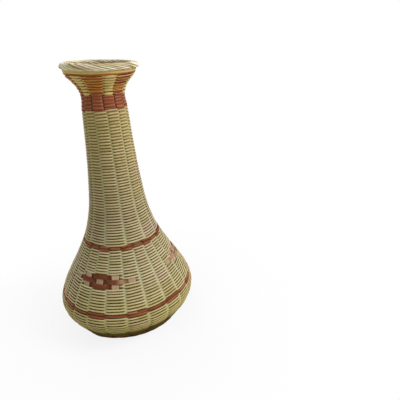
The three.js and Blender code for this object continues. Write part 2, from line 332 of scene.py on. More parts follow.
def smooth_line(points, count):
    """A smooth curve through points: a cubic between neighbours, whose slope at each point is
    the mean of the slopes on both sides, each weighted by the other side's length."""
    reach = np.linalg.norm(np.diff(points, axis=0), axis=1)
    knots = np.concatenate([[0], np.cumsum(reach)])
    gap = np.diff(knots)[:, None]
    step = np.diff(points, axis=0) / gap
    inner = (step[:-1] * gap[1:] + step[1:] * gap[:-1]) / (gap[1:] + gap[:-1])
    slope = np.vstack([step[:1], inner, step[-1:]])
    place = np.linspace(0, knots[-1], count)
    i = np.clip(np.searchsorted(knots, place, side="right") - 1, 0, len(gap) - 1)
    x = (place - knots[i])[:, None] / gap[i]
    return (points[i] * (1 + 2 * x) * (1 - x) ** 2 + slope[i] * gap[i] * x * (1 - x) ** 2
            + points[i + 1] * x ** 2 * (3 - 2 * x) + slope[i + 1] * gap[i] * x ** 2 * (x - 1))


outer = smooth_line(OUTLINE, WALL_STEPS)
way = np.gradient(outer, axis=0)
way /= np.linalg.norm(way, axis=1)[:, None]
normal = np.stack([way[:, 1], -way[:, 0]], axis=1)
middle = outer - normal * WALL_THICKNESS / 2
wall_length = np.concatenate([[0], np.cumsum(np.linalg.norm(np.diff(middle, axis=0), axis=1))])


def wall_at(length, depth):
    """Radius and height at a length up the middle of the wall, moved outwards by depth."""
    radius = (np.interp(length, wall_length, middle[:, 0])
              + depth * np.interp(length, wall_length, normal[:, 0]))
    height = (np.interp(length, wall_length, middle[:, 1])
              + depth * np.interp(length, wall_length, normal[:, 1]))
    return radius, height


def length_at(height):
    """Length up the middle of the wall, level with a height of the outer outline."""
    return np.interp(height, outer[:, 1], wall_length)


def column_angle(number, height):
    """Direction of an upright at a height. Handmade spacing makes the front and back columns
    wider, and more so on the belly than on the neck. The collar twists them a little."""
    even = FIRST_ANGLE + number * 2 * np.pi / UPRIGHTS
    drift = np.interp(height, DRIFT_HEIGHTS, DRIFTS)
    return even + drift * np.sin(2 * even) + np.interp(height, TWIST_HEIGHTS, TWISTS)


def turned(radius, height, angle):
    """Points at a radius, a height and a direction round the vase. The foot's corners stand
    out by a rounded bump. The handmade collar leans to the left and the mouth to the front:
    the height rises by a share of x and of y, and these shares change with the height."""
    for direction, size in FOOT_CORNERS:
        bump = np.exp((np.cos(angle - direction) - 1) / CORNER_TURN ** 2)
        radius = radius + size * bump * np.interp(height, CORNER_HEIGHTS, (1, 0))
    x, y, z = np.broadcast_arrays(radius * np.sin(angle), -radius * np.cos(angle), height)
    to_left, to_front, shift = (np.interp(z, LEANS[:, 0], column) for column in LEANS[:, 1:].T)
    return np.stack((x + shift, y, z + to_left * x + to_front * y), axis=-1)


# Uneven handwork

def drawn_curves(shape, spots, size):
    """Smooth closed random curves: each passes through a chance value at every spot round the
    vase and eases from one to the next by half a cosine. shape is (curves, steps)."""
    curves, steps = shape
    values = rng.normal(0, size, (curves, spots))
    place = np.arange(steps) * spots / steps
    spot = place.astype(int)
    ease = (1 - np.cos(np.pi * (place - spot))) / 2
    return values[:, spot % spots] * (1 - ease) + values[:, (spot + 1) % spots] * ease


# The weaving

def row_lengths(count, low, high):
    """Where the middles of evenly spaced rows lie up the wall, between two heights of the
    outline."""
    start, end = length_at(low), length_at(high)
    return start + (end - start) * (np.arange(count) + 0.5) / count


# Each band's rows: where they lie up the wall, and their numbers, counted from the foot
band_rows = {}
rows_below = 0
for band, extent in BANDS.items():
    band_rows[band] = (row_lengths(*extent), rows_below + np.arange(extent[0]))
    rows_below += extent[0]

belly_lengths = band_rows["belly"][0]
row_pitch = belly_lengths[1] - belly_lengths[0]
patch_middle = belly_lengths[np.argmin(np.abs(belly_lengths - length_at(PATCH_HEIGHT)))]
strip_pitch = STRIP_PITCH_ROWS * row_pitch


def off_middle(number, start):
    """How many columns lie between one and the middle of a patch, the short way round."""
    half_round = UPRIGHTS / 2
    return np.abs((number - start - MIDDLE_REACH + half_round) % UPRIGHTS - half_round)


def window(number, lengths):
    """1 where a row of weaving runs behind a patch, and 0 elsewhere. The middle strip's rows
    do so over five uprights, those of the strips above and below over the three inner ones.
    It ends in a soft step, half an upright and a margin past the last upright."""
    share = (SPLINT_WIDTH / 2 + WINDOW_MARGIN) / (2 * np.pi * PATCH_RADIUS / UPRIGHTS)
    row = np.abs(np.rint((lengths - patch_middle) / row_pitch))
    is_middle = row <= STRIP_ROWS // 2
    is_outer = (row > STRIP_ROWS // 2) & (row <= STRIP_ROWS // 2 + STRIP_ROWS)
    hidden = np.zeros((len(lengths), len(number)))
    for start in PATCH_STARTS:
        for is_covered, reach in ((is_middle, MIDDLE_REACH), (is_outer, OUTER_REACH)):
            behind = soft_step(reach + share - off_middle(number, start), WINDOW_EDGE)
            hidden = np.maximum(hidden, is_covered[:, None] * behind)
    return hidden


def pushed(number, lengths):
    """How far a row of weaving is pushed up or down the wall beside a patch, which is a
    little taller than the rows that it takes the place of: half of what it is taller, less by
    an exponential from row to row and by a smooth fall towards the patch's ends."""
    row = np.rint((lengths - patch_middle) / row_pitch)
    outside = np.maximum(np.abs(row) - STRIP_ROWS // 2 - STRIP_ROWS, 0)
    push = STRIPS / 2 * (STRIP_PITCH_ROWS - STRIP_ROWS) * row_pitch * np.sign(row)
    push = push * np.exp(-(outside - 1) / PUSH_ROWS) * (outside > 0)
    shape = np.zeros(len(number))
    for start in PATCH_STARTS:
        shape = np.maximum(shape, eased((PUSH_REACH - off_middle(number, start)) / PUSH_EDGE))
    return push[:, None] * shape


def add_weave(name, rows, material, nodes, columns=LONG_UPRIGHTS, steps=12,
              swell=WEAVER_SWELL, inner_swell=INNER_SWELL, lean=0.0, power=1.0,
              has_windows=False, paints_shade_inside=True):
    """Rows of weaving, from where they lie up the wall and their numbers. They pass as many
    uprights as there are columns, with so many steps from one to the next. A strand's middle
    lies at the wall's middle plus its lift, which is a clipped cosine of the column, of turned
    sign in the next row. Round the strand, a point is moved up the wall by the half height
    times a sine to a power, which is below 1 for flatter strands, and outwards by the half
    thickness times the cosine. swell is added to the half height where a strand lies over an
    upright, and inner_swell where it lies behind one. lean above 0 makes a strand stay in
    front for longer than behind. has_windows takes the rows behind the patches, and
    paints_shade_inside puts painted shade on them where they lie inside, through the crevice mark.
    The crevice mark, painted shade in the gaps on most weavers, is strongest beside the
    crossings."""
    lengths, numbers = rows
    swell, lean = np.reshape(swell, (-1, 1)), np.reshape(lean, (-1, 1))
    column = np.arange(columns * steps) / steps
    number = column if columns == UPRIGHTS else 2 * column + 1
    row_radius, row_height = wall_at(lengths, 0)
    angle = column_angle(number, row_height[:, None])
    lift = crossed(np.cos(np.pi * (column + numbers[:, None])) + lean, WEAVER_STEEPNESS)
    shape = lift.shape
    middle_depth = WEAVER_LIFT * lift + drawn_curves(shape, 2 * columns, UNEVEN_DEPTH)
    if has_windows:
        hidden = window(number, lengths)
        strip_back = -SPLINT_THICKNESS / 2 - 2 * STRIP_HALF_THICKNESS
        behind = strip_back - WEAVER_HALF_THICKNESS - BEHIND_CLEARANCE
        middle_depth = middle_depth * (1 - hidden) + behind * hidden
    thick = 1 + drawn_curves(shape, columns, UNEVEN_THICKNESS)
    thick = thick + rng.normal(0, UNEVEN_ROW_THICKNESS, (len(lengths), 1))
    inside = eased(-SWELL_STEEPNESS * lift)
    height = WEAVER_HALF_HEIGHT + swell * eased(SWELL_STEEPNESS * np.abs(lift))
    height = (height + (inner_swell - swell) * inside) * thick
    sag = (drawn_curves(shape, columns, UNEVEN_SAG)
           + drawn_curves(shape, LEVEL_SPOTS, UNEVEN_LEVEL))
    if has_windows:
        sag = sag + pushed(number, lengths)
    turn = section_turns(WEAVER_SIDES)
    raised = np.abs(lift)
    gap = GAP_AT_CROSSING + GAP_STANDING_OUT * raised + GAP_BETWEEN * raised * (1 - raised)
    marks = {
        "dive": 1 - np.maximum(lift, 0)[..., None],
        "crevice": np.maximum(np.sin(turn) ** 2 * gap[..., None],
                              paints_shade_inside * inside[..., None]),
    }
    rise = squared_off(np.sin(turn), power)
    length = (lengths[:, None] + sag)[..., None] + height[..., None] * rise
    depth = middle_depth[..., None] + (WEAVER_HALF_THICKNESS * thick)[..., None] * np.cos(turn)
    radius, level = wall_at(length, depth)
    points = turned(radius, level, angle[..., None])
    along = row_radius[:, None] * np.hstack([angle, angle[:, :1] + 2 * np.pi]) * MM
    across = 2 * np.pi * WEAVER_HALF_HEIGHT * MM
    add_tubes(name, points, along, across, material, nodes, marks)


# The uprights

def add_uprights(name, numbers, low, high, material, nodes):
    """Flat strips up the wall. Across the strip, a point lies on a flattened ring: its sine,
    raised to a low power, gives the place across and its cosine the place outwards. They are
    bare and pale beside the patches' strips. Elsewhere they lie deep in the weaving, where the
    crevice mark puts painted olive shade on them, and in the collar the dive mark puts painted
    brown shade on them."""
    shape = (len(numbers), UPRIGHT_STEPS)
    length = np.linspace(low, high, UPRIGHT_STEPS)
    turn = section_turns(UPRIGHT_SIDES)
    across = SPLINT_WIDTH / 2 * squared_off(np.sin(turn), UPRIGHT_POWERS[0])
    outwards = SPLINT_THICKNESS / 2 * squared_off(np.cos(turn), UPRIGHT_POWERS[1])
    radius, level = wall_at(length[:, None], outwards)
    sway = drawn_curves(shape, SWAY_SPOTS, UPRIGHT_SWAY)[..., None]
    angle = column_angle(numbers[:, None, None], level) + (across + sway) / radius
    points = turned(radius, level, angle)
    along = np.broadcast_to(length * MM, shape)
    from_middle = np.abs(length - patch_middle)
    bare = np.zeros(shape)
    for start in PATCH_STARTS:
        column = off_middle(numbers, start)[:, None]
        for reach, strips in ((OUTER_REACH, STRIPS), (MIDDLE_REACH, 1)):
            half = strips / 2 * strip_pitch
            bare = np.maximum(bare, (column <= reach) * soft_step(half - from_middle, BARE_EDGE))
    in_collar = soft_step(length - length_at(COLLAR_FOOT), COLLAR_EDGE)[:, None]
    marks = {"dive": in_collar, "crevice": (1 - bare[..., None]) * (1 - in_collar)}
    add_tubes(name, points[:, :, ::-1], along, 2 * SPLINT_WIDTH * MM, material,
              nodes, marks, is_closed=False)


# The patches

def add_strip(name, start, row, reach, tan_span, material, node):
    """A flat strip that passes behind and in front of uprights in turn, and reaches over so
    many on each side of its patch's middle. Along it, its lift is a clipped cosine of the
    column. Its height swells where it shows and narrows to a point where it dives. Its section
    is a flattened ring, as an upright's is. It turns tan from the first column of fade to the
    second. Its dive mark puts painted shade on it where it passes behind an upright, and its
    crevice mark along its two edges."""
    first, last = MIDDLE_REACH - reach, MIDDLE_REACH + reach
    steps = round(STRIP_STEPS * (last - first + sum(STRIP_ENDS)))
    number = start + np.linspace(first - STRIP_ENDS[0], last + STRIP_ENDS[1], steps)
    wave = -np.cos(np.pi * (number - start - first))
    lift = crossed(wave, STRIP_STEEPNESS)
    on_upright = SPLINT_THICKNESS / 2 + STRIP_HALF_THICKNESS + STRIP_CLEARANCE
    depth = on_upright * lift + STRIP_BULGE * np.maximum(wave, 0)
    swell = STRIP_SWELL * eased((wave - STRIP_SWELL_START) / STRIP_SWELL_SPAN)
    half = row_pitch * (STRIP_NARROW + swell)
    turn = section_turns(STRIP_SIDES)
    up = squared_off(np.sin(turn), STRIP_POWERS[0])
    outwards = STRIP_HALF_THICKNESS * squared_off(np.cos(turn), STRIP_POWERS[1])
    sag = drawn_curves((1, steps), STRIP_SAG_SPOTS, STRIP_SAG)[0]
    length = patch_middle + row * strip_pitch + sag[:, None] + half[:, None] * up
    radius, level = wall_at(length, depth[:, None] + outwards)
    angle = column_angle(number, PATCH_HEIGHT)
    points = turned(radius, level, angle[:, None])[None]
    along = (PATCH_RADIUS * angle * MM)[None]
    tan_end = eased((number - start - tan_span[0]) / (tan_span[1] - tan_span[0]))
    marks = {
        "dive": ((1 - lift) / 2)[:, None],
        "crevice": np.sin(turn) ** STRIP_EDGE_POWER,
        "tan_end": tan_end[:, None],
    }
    add_tubes(name, points, along, 4 * row_pitch * STRIP_ROWS * MM, material,
              [node], marks, is_closed=False)


# The rolled borders

def add_roll(name, radius, level, width, height, slant, strands, turns, material, node):
    """A roll of strands that wind round it. One closed path goes round the vase once for each
    strand while it turns round the roll's section. Its point is the section's middle plus an
    oval of the turning angle, and the strand's own section is an oval on that: across, it
    moves the turning angle, and outwards, it swells the oval. The roll's outer side hangs
    lower than its inner side by a slant."""
    steps = turns * ROLL_STEPS
    share = np.arange(steps) / steps
    angle = 2 * np.pi * strands * share
    winding = -2 * np.pi * turns * share
    turn = section_turns(ROLL_SIDES)
    uneven = 1 + drawn_curves((1, steps), turns, UNEVEN_ROLL_SPREAD)[0]
    half_spread = ROLL_OVERLAP * np.pi / strands
    spread = winding[:, None] + half_spread * uneven[:, None] * np.sin(turn)
    swell = ROLL_HALF_THICKNESS * (np.cos(turn) - 1)
    wave = drawn_curves((1, steps), turns, UNEVEN_ROLL_SIZE)[0][:, None]
    beside = (width / 2 + swell + wave) * np.cos(spread)
    above = (height / 2 + swell + np.minimum(wave, 0)) * np.sin(spread)
    points = turned(radius + beside, level + above - slant * beside, angle[:, None])[None]
    along = radius * np.append(angle, 2 * np.pi * strands) * MM
    # The crevice mark puts painted shade on each strand's two edges, in the grooves between
    # strands
    add_tubes(name, points, along[None], 8 * ROLL_HALF_THICKNESS * MM, material,
              [node], {"crevice": np.sin(turn) ** 2})


# The base

def add_base_rings(name, material, node):
    """Rings of weaving round the flat base. The uprights' place is taken by the ends of the
    crossed base splints, whose directions follow from each ring's radius: an end that lies off
    the middle by an offset is met at the angle whose sine is offset over radius."""
    offsets = BASE_SPLINT_PITCH * (np.arange(BASE_SPLINTS) - (BASE_SPLINTS - 1) / 2)
    rings = BASE_RING_RADIUS + BASE_RING_PITCH * np.arange(BASE_RINGS)
    angle = 2 * np.pi * np.arange(BASE_RING_STEPS) / BASE_RING_STEPS
    ends = np.arcsin(offsets / rings[:, None])
    quarters = range(-1, 5)
    ends = np.concatenate([ends + quarter * np.pi / 2 for quarter in quarters], axis=1)
    column = np.stack([np.interp(angle, ring, np.arange(len(ring))) for ring in ends])
    wave = np.cos(np.pi * (column + np.arange(BASE_RINGS)[:, None]))
    lift = crossed(wave, BASE_RING_STEEPNESS)[..., None]
    turn = section_turns(WEAVER_SIDES)
    middle_height = BASE_HEIGHT + BASE_LAYER_RISE * np.cos(2 * angle)
    height = middle_height[:, None] + BASE_RING_LIFT * lift - WEAVER_HALF_THICKNESS * np.cos(turn)
    radius = rings[:, None, None] + BASE_RING_HALF_WIDTH * np.sin(turn)
    points = turned(radius, height, angle[:, None])
    along = rings[:, None] * np.append(angle, 2 * np.pi) * MM
    # The crevice mark puts painted shade on each ring's sides, where it meets its neighbours
    marks = {"dive": 1 - np.abs(lift), "crevice": np.sin(turn) ** 2}
    across = 2 * np.pi * WEAVER_HALF_HEIGHT * MM
    add_tubes(name, points, along, across, material, [node], marks)


# Materials

def new_material(name):
    """An empty material's nodes and links, with its shader in place."""
    material = bpy.data.materials.new(name)
    material.use_nodes = True
    nodes, links = material.node_tree.nodes, material.node_tree.links
    return material, nodes, links, nodes["Principled BSDF"]


def mixed(nodes, links, factor, low, high, blend="MIX"):
    """A mix of two colours, each a socket or a fixed colour."""
    mix = nodes.new("ShaderNodeMix")
    mix.data_type = "RGBA"
    mix.blend_type = blend
    for socket, value in ((mix.inputs[0], factor), (mix.inputs[6], low), (mix.inputs[7], high)):
        if isinstance(value, bpy.types.NodeSocket):
            links.new(value, socket)
        else:
            socket.default_value = value
    return mix.outputs[2]


def noise_on(nodes, links, vector, stretch, detail, roughness=0.5):
    """A noise on a vector that is first scaled along each axis by its stretch."""
    mapping = nodes.new("ShaderNodeMapping")
    mapping.inputs["Scale"].default_value = stretch
    links.new(vector, mapping.inputs["Vector"])
    noise = nodes.new("ShaderNodeTexNoise")
    noise.inputs["Scale"].default_value = 1.0
    noise.inputs["Detail"].default_value = detail
    noise.inputs["Roughness"].default_value = roughness
    links.new(mapping.outputs["Vector"], noise.inputs["Vector"])
    return noise.outputs["Fac"]


def stepped(nodes, links, value, stops):
    """A colour ramp through stops, each a place and a colour."""
    ramp = nodes.new("ShaderNodeValToRGB")
    elements = ramp.color_ramp.elements
    while len(elements) < len(stops):
        elements.new(0.5)
    for element, (place, colour) in zip(elements, stops):
        element.position = place
        element.color = colour
    links.new(value, ramp.inputs["Fac"])
    return ramp.outputs["Color"]


def ranged(nodes, links, value, low, high, out_low, out_high):
    """A value moved from one range to another."""
    node = nodes.new("ShaderNodeMapRange")
    for name, number in (("From Min", low), ("From Max", high), ("To Min", out_low),
                         ("To Max", out_high)):
        node.inputs[name].default_value = number
    links.new(value, node.inputs["Value"])
    return node.outputs["Result"]


def mark_share(nodes, links, mark, low, high, share):
    """How much a mark on the mesh counts: none at low, and its full share at high."""
    attribute = nodes.new("ShaderNodeAttribute")
    attribute.attribute_name = mark
    return ranged(nodes, links, attribute.outputs["Fac"], low, high, 0, share)


# How the noises of bamboo are scaled, per metre: a strand's tone and its fibres, along the
# strand and twice across it, and the broad patches
TONE_SCALE = (11, 63, 63)
FIBRE_SCALE = (55, 2600, 2600)
BROAD_SCALE = (17, 17, 34)

# Over which part of each noise or mark something changes, and how much of it there is
BROAD_RANGE, BROAD_SHARE = (0.52, 0.7), 0.55
DIVE_RANGE = (0.1, 1)
FIBRE_RANGE = (0.3, 0.7)
FIBRE_STREAKS = [(0.3, (0.84, 0.82, 0.76, 1)), (0.7, (1.06, 1.06, 1.04, 1))]
ROUGHNESS = (0.62, 0.48)
FIBRE_BUMP, FIBRE_DEPTH = 0.35, 0.00012

# The gloss sets in between two heights above the floor, in metres
GLOSS_HEIGHTS, GLOSS = (0.02, 0.06), 0.12


def bamboo(name, tones, broad, dive=None, crevice=None, crevice_range=(0.4, 1), tan_end=None,
           tints=None, grain="UV"):
    """Split bamboo. Each strand takes its own tone from a slow noise along its length, and a
    broad noise shifts it to the colour broad. dive is the colour that it takes where it dives
    between its neighbours, and the share of it. crevice is the same for the crevices, with one
    colour or with colours by height, and crevice_range is the part of the mark over which they
    come in. The dive and crevice colours are mostly painted shade. faded is the colour that it
    turns towards an end, and tints are tints by the height above the floor in metres; those of
    the straw weavers hold painted shade near the foot. Fine fibres run along it, and it is dull
    near the foot. grain says what the noises follow: the UV map's first axis, or the object's x
    or y for a straight splint without a map."""
    material, nodes, links, shader = new_material(name)
    place = nodes.new("ShaderNodeTexCoord")
    split = nodes.new("ShaderNodeSeparateXYZ")
    links.new(place.outputs["Object"], split.inputs[0])
    height = split.outputs["Z"]
    strand = place.outputs["UV" if grain == "UV" else "Object"]
    axes = (1, 0, 2) if grain == "y" else (0, 1, 2)
    tone = noise_on(nodes, links, strand, [TONE_SCALE[axis] for axis in axes], detail=3,
                    roughness=0.6)
    fibre = noise_on(nodes, links, strand, [FIBRE_SCALE[axis] for axis in axes], detail=4,
                     roughness=0.65)
    patches = noise_on(nodes, links, place.outputs["Object"], BROAD_SCALE, detail=2)

    colour = stepped(nodes, links, tone, tones)
    share = ranged(nodes, links, patches, *BROAD_RANGE, 0, BROAD_SHARE)
    colour = mixed(nodes, links, share, colour, broad)
    if tan_end is not None:
        share = mark_share(nodes, links, "tan_end", 0, 1, 1)
        colour = mixed(nodes, links, share, colour, tan_end)
    if dive is not None:
        dive_colour, most = dive
        share = mark_share(nodes, links, "dive", *DIVE_RANGE, most)
        colour = mixed(nodes, links, share, colour, dive_colour)
    streaks = stepped(nodes, links, fibre, FIBRE_STREAKS)
    colour = mixed(nodes, links, 1.0, colour, streaks, "MULTIPLY")
    if tints is not None:
        colour = mixed(nodes, links, 1.0, colour, stepped(nodes, links, height, tints), "MULTIPLY")
    if crevice is not None:
        crevice_colour, most = crevice
        if isinstance(crevice_colour, list):
            crevice_colour = stepped(nodes, links, height, crevice_colour)
        share = mark_share(nodes, links, "crevice", *crevice_range, most)
        colour = mixed(nodes, links, share, colour, crevice_colour)
    links.new(colour, shader.inputs["Base Color"])

    roughness = ranged(nodes, links, fibre, *FIBRE_RANGE, *ROUGHNESS)
    links.new(roughness, shader.inputs["Roughness"])
    gloss = ranged(nodes, links, height, *GLOSS_HEIGHTS, 0, GLOSS)
    links.new(gloss, shader.inputs["Specular IOR Level"])
    bump = nodes.new("ShaderNodeBump")
    bump.inputs["Strength"].default_value = FIBRE_BUMP
    bump.inputs["Distance"].default_value = FIBRE_DEPTH
    links.new(fibre, bump.inputs["Height"])
    links.new(bump.outputs["Normal"], shader.inputs["Normal"])
    return material


# Tints of the straw-coloured weaving and the colours of its crevices, by the height above the
# floor in metres. Near the foot both are painted shade: they darken the weaving under the belly
# and round the foot. Higher up, the tints make it pale on the shoulder and more golden up the
# neck, and the crevices carry painted olive shade.
STRAW_TINT_AND_SHADE_BY_HEIGHT = [
    (0.030, (0.17, 0.15, 0.07, 1)), (0.034, (0.78, 0.75, 0.58, 1)), (0.070, (1.00, 1.00, 1.15, 1)),
    (0.110, (1.00, 1.02, 1.40, 1)), (0.160, (0.94, 0.94, 1.24, 1)), (0.200, (0.84, 0.82, 1.06, 1)),
    (0.280, (0.88, 0.84, 1.00, 1)), (0.350, (0.86, 0.80, 0.82, 1)),
]
OLIVE_SHADE_BY_HEIGHT = [
    (0.030, (0.050, 0.036, 0.006, 1)), (0.070, (0.150, 0.105, 0.018, 1)),
    (0.120, (0.170, 0.124, 0.030, 1)), (0.180, (0.125, 0.093, 0.020, 1)),
    (0.280, (0.220, 0.172, 0.045, 1)), (0.350, (0.290, 0.222, 0.055, 1)),
]
# Painted shade for crevices, olive and brown; gold lines between the funnel's red strands; and a
# painted tan highlight for the edges of the collar's strands
OLIVE_SHADE = (0.200, 0.150, 0.034, 1)
BROWN_SHADE = (0.085, 0.018, 0.002, 1)
GOLD_LINES = (0.920, 0.640, 0.220, 1)
TAN_HIGHLIGHT_LINES = (0.720, 0.340, 0.190, 1)
SPLINT_TONES = [
    (0.30, (0.320, 0.215, 0.125, 1)), (0.50, (0.400, 0.280, 0.170, 1)),
    (0.70, (0.480, 0.360, 0.225, 1)),
]
SPLINT_BROAD = (0.420, 0.280, 0.170, 1)

# Its crevice colours are painted olive shade, and its tints hold painted shade near the foot
natural_weave = bamboo(
    "straw_weavers",
    [(0.30, (0.380, 0.305, 0.095, 1)), (0.45, (0.500, 0.425, 0.160, 1)),
     (0.58, (0.590, 0.515, 0.225, 1)), (0.72, (0.620, 0.490, 0.260, 1))],
    broad=(0.560, 0.400, 0.240, 1), dive=((0.450, 0.460, 0.180, 1), 0.6),
    crevice=(OLIVE_SHADE_BY_HEIGHT, 0.8), tints=STRAW_TINT_AND_SHADE_BY_HEIGHT)
# Its crevice colour is painted olive shade
golden_weave = bamboo(
    "golden_weavers",
    [(0.30, (0.420, 0.315, 0.085, 1)), (0.50, (0.540, 0.415, 0.130, 1)),
     (0.70, (0.640, 0.500, 0.200, 1))],
    broad=(0.560, 0.360, 0.120, 1), dive=((0.470, 0.410, 0.150, 1), 0.4),
    crevice=(OLIVE_SHADE, 0.8))
# Its crevice colour is painted olive shade in the grooves between the strands
pale_roll = bamboo(
    "pale_border_strands",
    [(0.38, (0.330, 0.270, 0.090, 1)), (0.46, (0.600, 0.520, 0.265, 1)),
     (0.54, (0.950, 0.920, 0.720, 1)), (0.62, (0.600, 0.450, 0.270, 1))],
    broad=(0.720, 0.590, 0.380, 1), crevice=(OLIVE_SHADE, 1.0))
# Its dive colour is painted shade where a strand dives between its neighbours, and its crevice
# colour painted brown shade
red_weave = bamboo(
    "red_brown_weavers",
    [(0.30, (0.120, 0.028, 0.007, 1)), (0.45, (0.200, 0.056, 0.016, 1)),
     (0.58, (0.290, 0.105, 0.045, 1)), (0.74, (0.450, 0.240, 0.130, 1))],
    broad=(0.260, 0.090, 0.036, 1), dive=((0.125, 0.028, 0.005, 1), 0.6),
    crevice=(BROWN_SHADE, 0.6))
# Its dive colour is painted shade at the column boundaries, and its crevice colour a painted tan
# highlight along the strands' edges
collar_weave = bamboo(
    "collar_weavers",
    [(0.30, (0.125, 0.026, 0.005, 1)), (0.45, (0.175, 0.040, 0.008, 1)),
     (0.58, (0.225, 0.060, 0.014, 1)), (0.74, (0.310, 0.120, 0.045, 1))],
    broad=(0.160, 0.036, 0.008, 1), dive=((0.100, 0.018, 0.003, 1), 0.9),
    crevice=(TAN_HIGHLIGHT_LINES, 0.7), crevice_range=(0.22, 0.55))
orange_weave = bamboo(
    "orange_brown_weavers",
    [(0.36, (0.120, 0.022, 0.001, 1)), (0.46, (0.210, 0.048, 0.003, 1)),
     (0.56, (0.330, 0.092, 0.007, 1)), (0.66, (0.500, 0.220, 0.036, 1))],
    broad=(0.200, 0.044, 0.002, 1), dive=((0.290, 0.100, 0.008, 1), 0.8),
    crevice=(GOLD_LINES, 1.0), crevice_range=(0.33, 0.6))
# Its dive colour is painted shade where a strip passes behind an upright, and its crevice colour
# painted brown shade along its edges
patch_strip = bamboo(
    "red_brown_strips",
    [(0.30, (0.090, 0.018, 0.007, 1)), (0.50, (0.155, 0.038, 0.014, 1)),
     (0.70, (0.230, 0.070, 0.028, 1))],
    broad=(0.180, 0.046, 0.020, 1), dive=((0.070, 0.015, 0.005, 1), 0.35),
    crevice=(BROWN_SHADE, 0.6), tan_end=(0.360, 0.210, 0.110, 1))
# Its dive colour is painted brown shade on the uprights in the collar, and its crevice colour
# painted olive shade where they lie deep in the weaving
pale_splint = bamboo("pale_splints", SPLINT_TONES, SPLINT_BROAD,
                     dive=((0.120, 0.040, 0.010, 1), 1.0), crevice=(OLIVE_SHADE_BY_HEIGHT, 1.0))
base_splints = {
    layer: bamboo(f"base_splints_{layer}", SPLINT_TONES, SPLINT_BROAD, grain=layer)
    for layer in "xy"
}
# Natural foot strands, darkened all over by painted shade under the belly's overhang, with painted
# brown shade in their crevices
shade_painted_border = bamboo(
    "shade_painted_foot_strands",
    [(0.30, (0.060, 0.036, 0.010, 1)), (0.50, (0.100, 0.070, 0.020, 1)),
     (0.70, (0.150, 0.110, 0.036, 1))],
    broad=(0.120, 0.060, 0.018, 1), crevice=(BROWN_SHADE, 0.6))


# The vase

add_weave("foot_strands", band_rows["foot"], red_weave, ["foot_red_band"],
          columns=UPRIGHTS, steps=8, swell=0.55)
for band in ("under_belly", "lower_belly"):
    add_weave(f"{band}_strands", band_rows[band], natural_weave,
              [f"{band}_weave"], columns=UPRIGHTS, steps=8)
add_weave("lower_band_strands", band_rows["lower_band"], red_weave,
          ["lower_red_band"], columns=UPRIGHTS, steps=8, swell=0.42)
add_weave("belly_strands", band_rows["belly"], natural_weave,
          ["belly_weave", "shoulder_weave"], columns=UPRIGHTS, steps=10, has_windows=True)
add_weave("upper_band_strands", band_rows["upper_band"], red_weave,
          ["upper_red_band"], columns=UPRIGHTS, steps=8, swell=0.42)
add_weave("neck_strands", band_rows["neck"], natural_weave,
          ["neck_root_weave", "neck_weave"], steps=10)
add_weave("collar_strands", band_rows["collar"], collar_weave, ["collar_weave"],
          swell=0.74, power=0.6, paints_shade_inside=False)

# In the funnel, red-brown and straw-coloured rows take turns, and the topmost one stays in
# front all the way
funnel_lengths, funnel_numbers = band_rows["funnel"]
is_red = funnel_numbers % 2 == 1
is_top = funnel_numbers[is_red] == funnel_numbers[-1]
add_weave("funnel_red_strands", (funnel_lengths[is_red], funnel_numbers[is_red]),
          orange_weave, ["funnel_weave"], swell=np.where(is_top, -0.1, 0.72),
          lean=np.where(is_top, ALL_IN_FRONT, 0.4), power=0.6, paints_shade_inside=False)
add_weave("funnel_straw_strands", (funnel_lengths[~is_red], funnel_numbers[~is_red]),
          golden_weave, ["funnel_weave"], swell=0.72, lean=-0.4, power=0.7)
for side, extent, lean in (("outer", OUTER_BINDING, ALL_IN_FRONT),
                           ("inner", INNER_BINDING, -ALL_IN_FRONT)):
    add_weave(f"{side}_binding_strands", (row_lengths(*extent), np.arange(extent[0])),
              golden_weave, ["rim_binding"], swell=-0.1, inner_swell=-0.1,
              lean=lean)

for kind, first, top in (("long", 1, wall_length[-1]),
                         ("short", 0, length_at(SHORT_UPRIGHTS_TOP))):
    add_uprights(f"{kind}_uprights", np.arange(first, UPRIGHTS, 2), UPRIGHT_FOOT,
                 top - UPRIGHT_TOP_MARGIN, pale_splint,
                 [f"{kind}_stake_{number}" for number in range(1, LONG_UPRIGHTS + 1)])

for patch, start in enumerate(PATCH_STARTS, 1):
    for word, row, reach in (("upper", 1, OUTER_REACH), ("middle", 0, MIDDLE_REACH),
                             ("lower", -1, OUTER_REACH)):
        add_strip(f"patch_{patch}_{word}", start, row, reach,
                  STRIP_TAN_SPANS.get((patch, word), NO_TAN_SPAN), patch_strip,
                  f"patch_{patch}_{word}_strip")

add_roll("rim_roll", radius=48.8, level=415.2, width=10.8, height=8.0, slant=0.25, strands=9,
         turns=31, material=pale_roll, node="rim_border")
add_roll("foot_roll", radius=83.5, level=3.4, width=10.0, height=6.8, slant=0, strands=8,
         turns=31, material=shade_painted_border, node="foot_border")
add_base_rings("base_rings", natural_weave, "base_weave")
for layer in "xy":
    for number in range(1, BASE_SPLINTS + 1):
        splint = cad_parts[f"base_splint_{layer}_{number}"]
        splint.data.materials.clear()
        splint.data.materials.append(base_splints[layer])


# The stage

def seen_directly(nodes, links):
    """1 for what the camera sees, also in gloss or through a clear surface, and 0 for light
    that reaches other surfaces."""
    path = nodes.new("ShaderNodeLightPath")
    total = path.outputs["Is Camera Ray"]
    for other in ("Is Glossy Ray", "Is Transmission Ray"):
        add = nodes.new("ShaderNodeMath")
        add.operation = "MAXIMUM"
        links.new(total, add.inputs[0])
        links.new(path.outputs[other], add.inputs[1])
        total = add.outputs[0]
    return total


